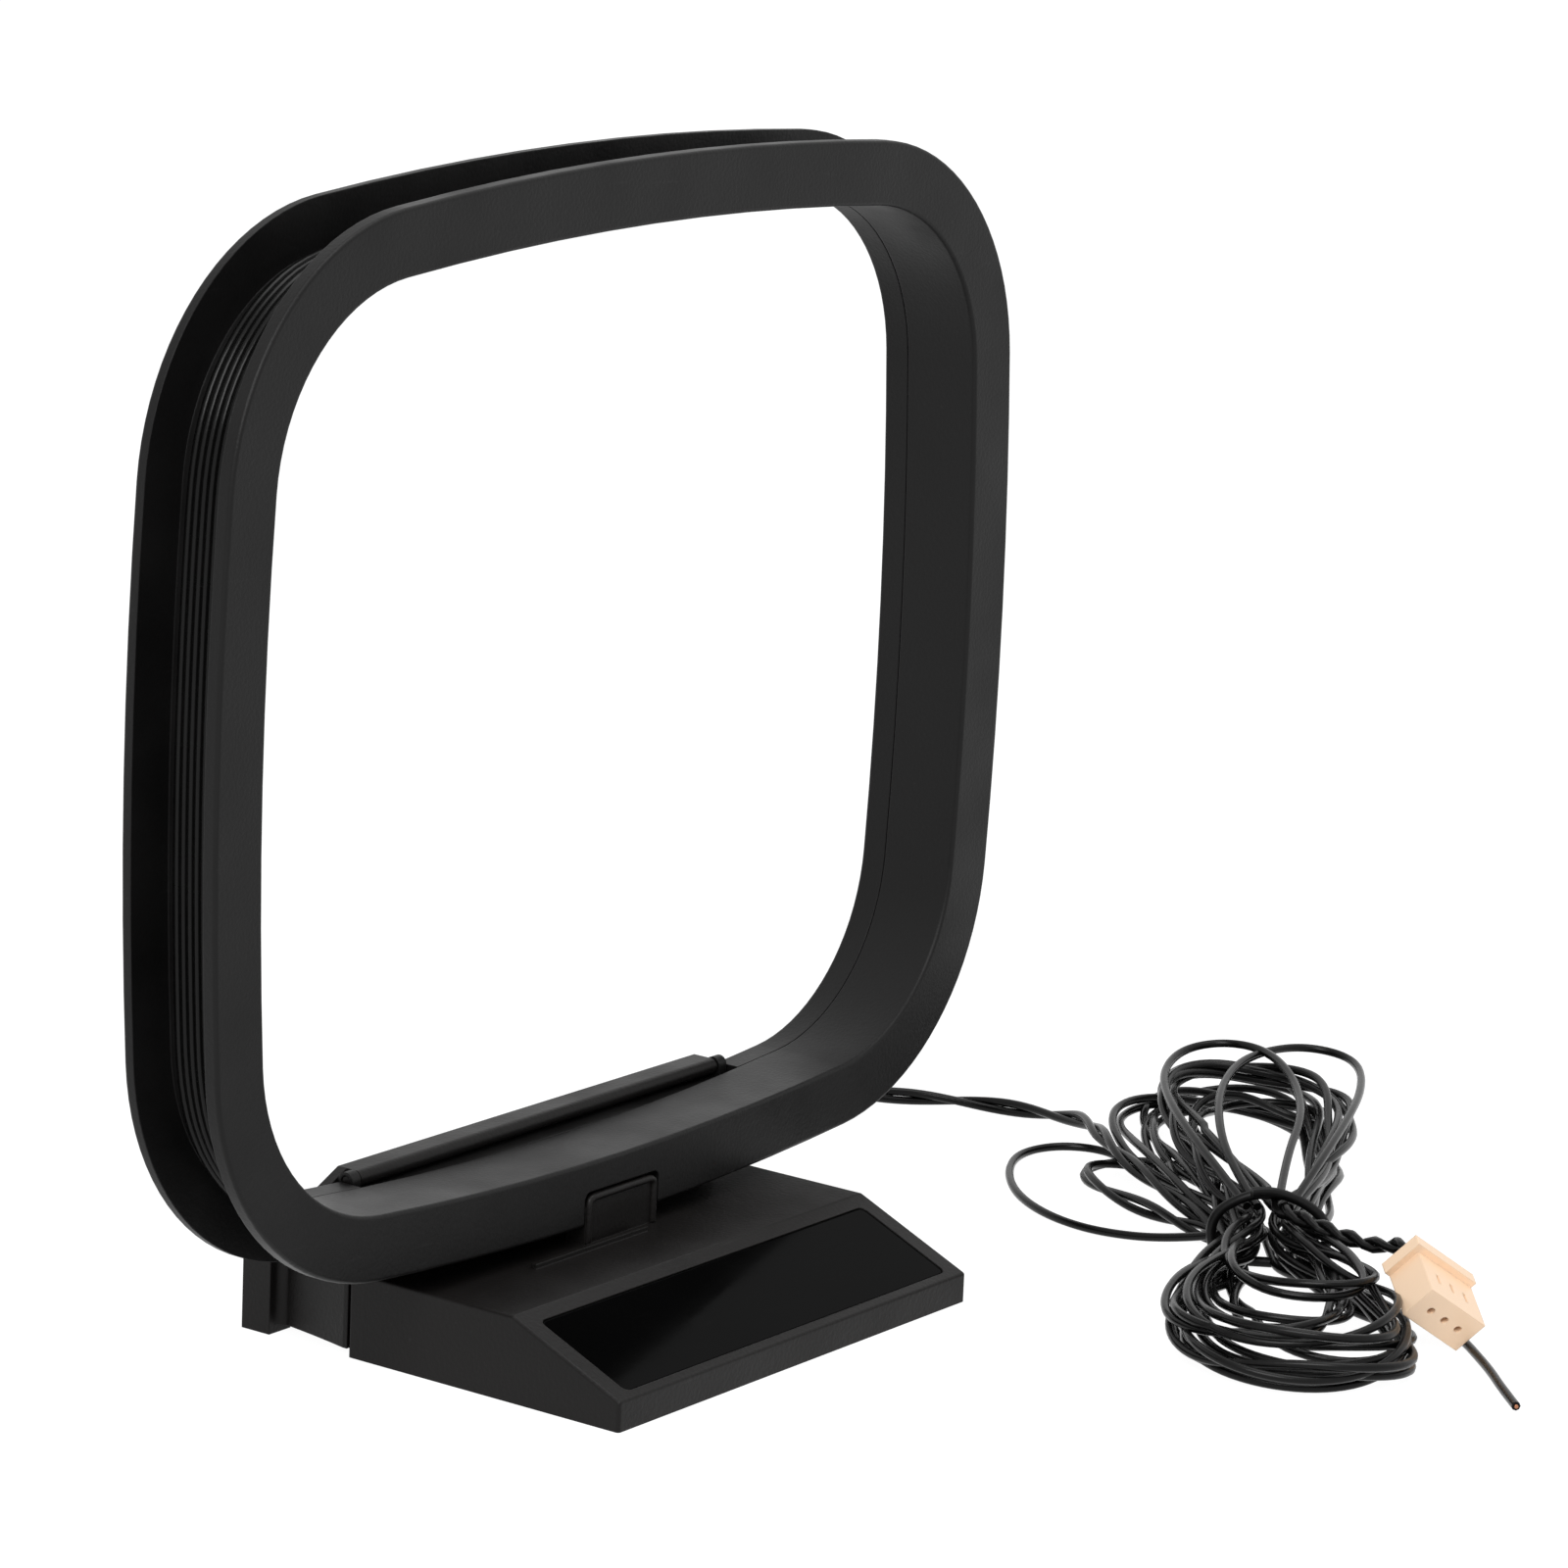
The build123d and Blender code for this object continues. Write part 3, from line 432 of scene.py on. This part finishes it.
single_wire("slack_wire", "slack_loop", [hank_spot(*spot) for spot in (
    (0.8, 5.1, 3.0), (4.0, 10.2, 1.2), (7.6, 17.5, 0.47), (12.5, 22.9, 0.47), (20.0, 26.5, 0.47),
    (28.7, 27.6, 0.47), (35.4, 26.5, 0.47), (39.0, 22.9, 0.47), (39.0, 18.5, 0.47), (35.9, 15.3, 0.47),
    (30.0, 13.1, 0.47),
)])
single_wire("right_wire", "right_loop", [hank_spot(*spot) for spot in (
    (0.9, 1.3, 6.2), (9.0, 4.0, 8.0), (18.0, 5.5, 9.6), (29.0, 5.5, 10.4), (39.0, 3.9, 10.6), (46.4, 0.7, 10.4),
    (50.8, -3.7, 10.0), (49.6, -8.3, 9.6), (44.4, -10.0, 9.4), (35.0, -9.7, 9.4), (25.0, -8.2, 9.4),
    (14.6, -6.0, 8.8), (7.0, -3.9, 7.6), (0.9, -2.0, 6.3),
)])
single_wire("left_wire", "left_loop", [hank_spot(*spot) for spot in (
    (0.9, 2.4, 6.2), (10.0, 6.2, 8.2), (22.0, 9.8, 9.4), (33.0, 11.5, 9.6), (41.0, 11.2, 9.8), (46.6, 9.1, 10.2),
    (48.4, 5.3, 10.6), (46.5, 1.5, 10.8), (41.0, -1.1, 10.8), (33.6, -2.9, 10.2), (23.0, -3.3, 9.8),
    (11.0, -1.6, 8.8), (0.9, -0.9, 7.4),
)])

bare_tip = wire_curve("bare_tip", [Vector(spot) * MM for spot in ((37.1, -81.7, 0.5), (36.56, -82.24, 0.5))],
                      kind="POLY", thickness=0.42 * MM)
bare_tip.data.materials.append(tip_copper)
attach(bare_tip, "stand")

single_wire("stray_end", "stray_wire", [Vector(spot) for spot in (
    (52.33, -63.87, 5.41), (54.45, -61.56, 6.73), (56.1, -59.8, 7.0), (57.4, -58.3, 5.6), (57.9, -57.8, 3.2),
    (57.2, -58.6, 1.2), (55.6, -60.4, 0.5), (53.8, -63.4, 0.5), (51.4, -67.3, 0.5), (47.3, -71.7, 0.5),
    (44.2, -74.9, 0.5), (40.6, -78.2, 0.5), (36.7, -82.1, 0.5),
)])


# Winding: nine close turns round the sleeve, from its rear end to its front end

WINDING_TURNS = 9
WINDING_REAR = 8.24
WINDING_FRONT = 0.8
LOOP_MIDDLE = 62.8

# A quarter of a turn: distances to the side and upwards from the loop's middle, from half height to the top
TURN_QUARTER = [
    (57.22, 6.67), (56.73, 20.01), (55.96, 30.44), (52.83, 37.33), (47.51, 42.71), (40.65, 45.93), (27.68, 47.03),
    (9.23, 47.82),
]


def winding_turn(y, step):
    """Spots of one turn, from the middle of the bottom up the left side, over the top and back to the bottom.

    Its first spot lies half a step behind the others, on the way from the turn before.
    """
    falling = TURN_QUARTER[::-1]
    spots = [(-x, -z, y) for x, z in falling]
    spots[0] = (*spots[0][:2], y + step / 2)
    spots += [(-x, z, y) for x, z in TURN_QUARTER]
    spots += [(x, z, y) for x, z in falling]
    spots += [(x, -z, y) for x, z in TURN_QUARTER]
    return [Vector((x, depth, LOOP_MIDDLE + z)) for x, z, depth in spots]


winding_step = (WINDING_REAR - WINDING_FRONT) / WINDING_TURNS
winding_spots = [Vector((x, WINDING_REAR, z)) for x, z in ((36.0, 16.58), (27.68, 15.77), (9.23, 14.98))]
for turn in range(1, WINDING_TURNS + 1):
    winding_spots += winding_turn(WINDING_REAR - turn * winding_step, winding_step)
winding_spots = winding_spots[:-2] + [Vector((37.7, WINDING_FRONT, 16.67))]
winding_wire = wire_curve("winding_wire", [p * MM for p in winding_spots], thickness=WOUND_WIRE, steps=5)
winding_wire.data.materials.append(wire_cover)
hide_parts("winding")
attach(winding_wire, "loop")


# The winding's two tails, to the notch in the rear flange

def fixed_wire(name, node, spots):
    """A wire fixed in the loop's frame, in place of its CAD node."""
    wire = wire_curve(name, [Vector(spot) * MM for spot in spots], thickness=WOUND_WIRE, steps=6)
    wire.data.materials.append(wire_cover)
    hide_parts(node)
    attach(wire, "loop")


fixed_wire("rear_tail_wire", "rear_tail", (
    (37.69, 8.24, 16.67), (39.8, 8.24, 16.77), (41.1, 8.24, 16.22), (41.47, 8.24, 15.0), (41.47, 8.84, 14.0),
    (41.47, 9.85, 13.4), (41.47, 10.6, 13.4),
))
fixed_wire("front_tail_wire", "front_tail", (
    (37.69, 0.8, 16.67), (39.9, 0.8, 16.8), (32.7, 1.2, 15.25), (31.3, 3.2, 14.75), (32.7, 5.8, 14.65),
    (34.6, 6.3, 13.1), (38.4, 7.0, 13.3), (40.0, 8.1, 13.4), (40.53, 9.4, 13.4), (40.53, 10.6, 13.4),
))


# Rounded bead round the edge of the lug that stands in the loop's notch

BEAD_Y = -1.1
lug_edge = [(5.15, 8.7), (5.15, 11.6), (5.15, 12.9), (4.7, 13.2), (3.6, 13.22)]
lug_bead = wire_curve("lug_bead", [Vector((x, BEAD_Y, z)) * MM for x, z in
                                   [(-x, z) for x, z in lug_edge] + lug_edge[::-1]], thickness=0.8 * MM, steps=8)
lug_bead.data.materials.append(stand_black)
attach(lug_bead, "stand")


# Floor and light

def either(nodes, link, first, second):
    """1 where either of two masks is 1."""
    most = nodes.new("ShaderNodeMath")
    most.operation = "MAXIMUM"
    link(first, most.inputs[0])
    link(second, most.inputs[1])
    return most.outputs["Value"]


def white_floor():
    """A pale floor that keeps a faint shadow and is white to the camera and to gloss."""
    material = bpy.data.materials.new("studio_floor")
    material.use_nodes = True
    nodes, link = material.node_tree.nodes, material.node_tree.links.new
    nodes.remove(nodes["Principled BSDF"])
    paper = nodes.new("ShaderNodeBsdfDiffuse")
    paper.inputs["Color"].default_value = (0.85, 0.85, 0.85, 1)
    glow = nodes.new("ShaderNodeEmission")
    glow.inputs["Strength"].default_value = 1.2
    seen = nodes.new("ShaderNodeLightPath")
    share = nodes.new("ShaderNodeMath")
    share.operation = "MULTIPLY"
    share.inputs[1].default_value = 0.8
    link(either(nodes, link, seen.outputs["Is Camera Ray"], seen.outputs["Is Glossy Ray"]), share.inputs[0])
    blend = nodes.new("ShaderNodeMixShader")
    link(share.outputs["Value"], blend.inputs["Fac"])
    link(paper.outputs["BSDF"], blend.inputs[1])
    link(glow.outputs["Emission"], blend.inputs[2])
    link(blend.outputs["Shader"], nodes["Material Output"].inputs["Surface"])
    return material


shape = bmesh.new()
bmesh.ops.create_grid(shape, x_segments=1, y_segments=1, size=4)
floor_mesh = bpy.data.meshes.new("studio_floor")
shape.to_mesh(floor_mesh)
shape.free()
studio_floor = bpy.data.objects.new("studio_floor", floor_mesh)
bpy.context.collection.objects.link(studio_floor)
studio_floor.data.materials.append(white_floor())


def white_room():
    """A world of soft room light that is white to the camera, to gloss and through clear parts."""
    world = bpy.data.worlds.new("studio")
    world.use_nodes = True
    nodes, link = world.node_tree.nodes, world.node_tree.links.new
    room = nodes["Background"]
    room.inputs["Color"].default_value = (0.95, 0.96, 1, 1)
    room.inputs["Strength"].default_value = 0.42
    white = nodes.new("ShaderNodeBackground")
    white.inputs["Color"].default_value = (1, 1, 1, 1)
    white.inputs["Strength"].default_value = 1
    seen = nodes.new("ShaderNodeLightPath")
    looked_at = either(nodes, link, seen.outputs["Is Camera Ray"], seen.outputs["Is Glossy Ray"])
    blend = nodes.new("ShaderNodeMixShader")
    link(either(nodes, link, looked_at, seen.outputs["Is Transmission Ray"]), blend.inputs["Fac"])
    link(room.outputs["Background"], blend.inputs[1])
    link(white.outputs["Background"], blend.inputs[2])
    link(blend.outputs["Shader"], nodes["World Output"].inputs["Surface"])
    return world


bpy.context.scene.world = white_room()


def softbox(name, place, target, size, power):
    """A square area lamp that faces a target."""
    lamp = bpy.data.lights.new(name, "AREA")
    lamp.size = size
    lamp.energy = power
    holder = bpy.data.objects.new(name, lamp)
    bpy.context.collection.objects.link(holder)
    holder.location = place
    holder.rotation_euler = (Vector(place) - Vector(target)).to_track_quat("Z", "Y").to_euler()


softbox("left_softbox", place=(-0.9, -0.5, 0.9), target=(0, 0, 0.05), size=0.7, power=12)
softbox("top_softbox", place=(0.2, -0.2, 1.3), target=(0, 0, 0.05), size=0.8, power=6)

bpy.context.scene.view_settings.view_transform = "Standard"
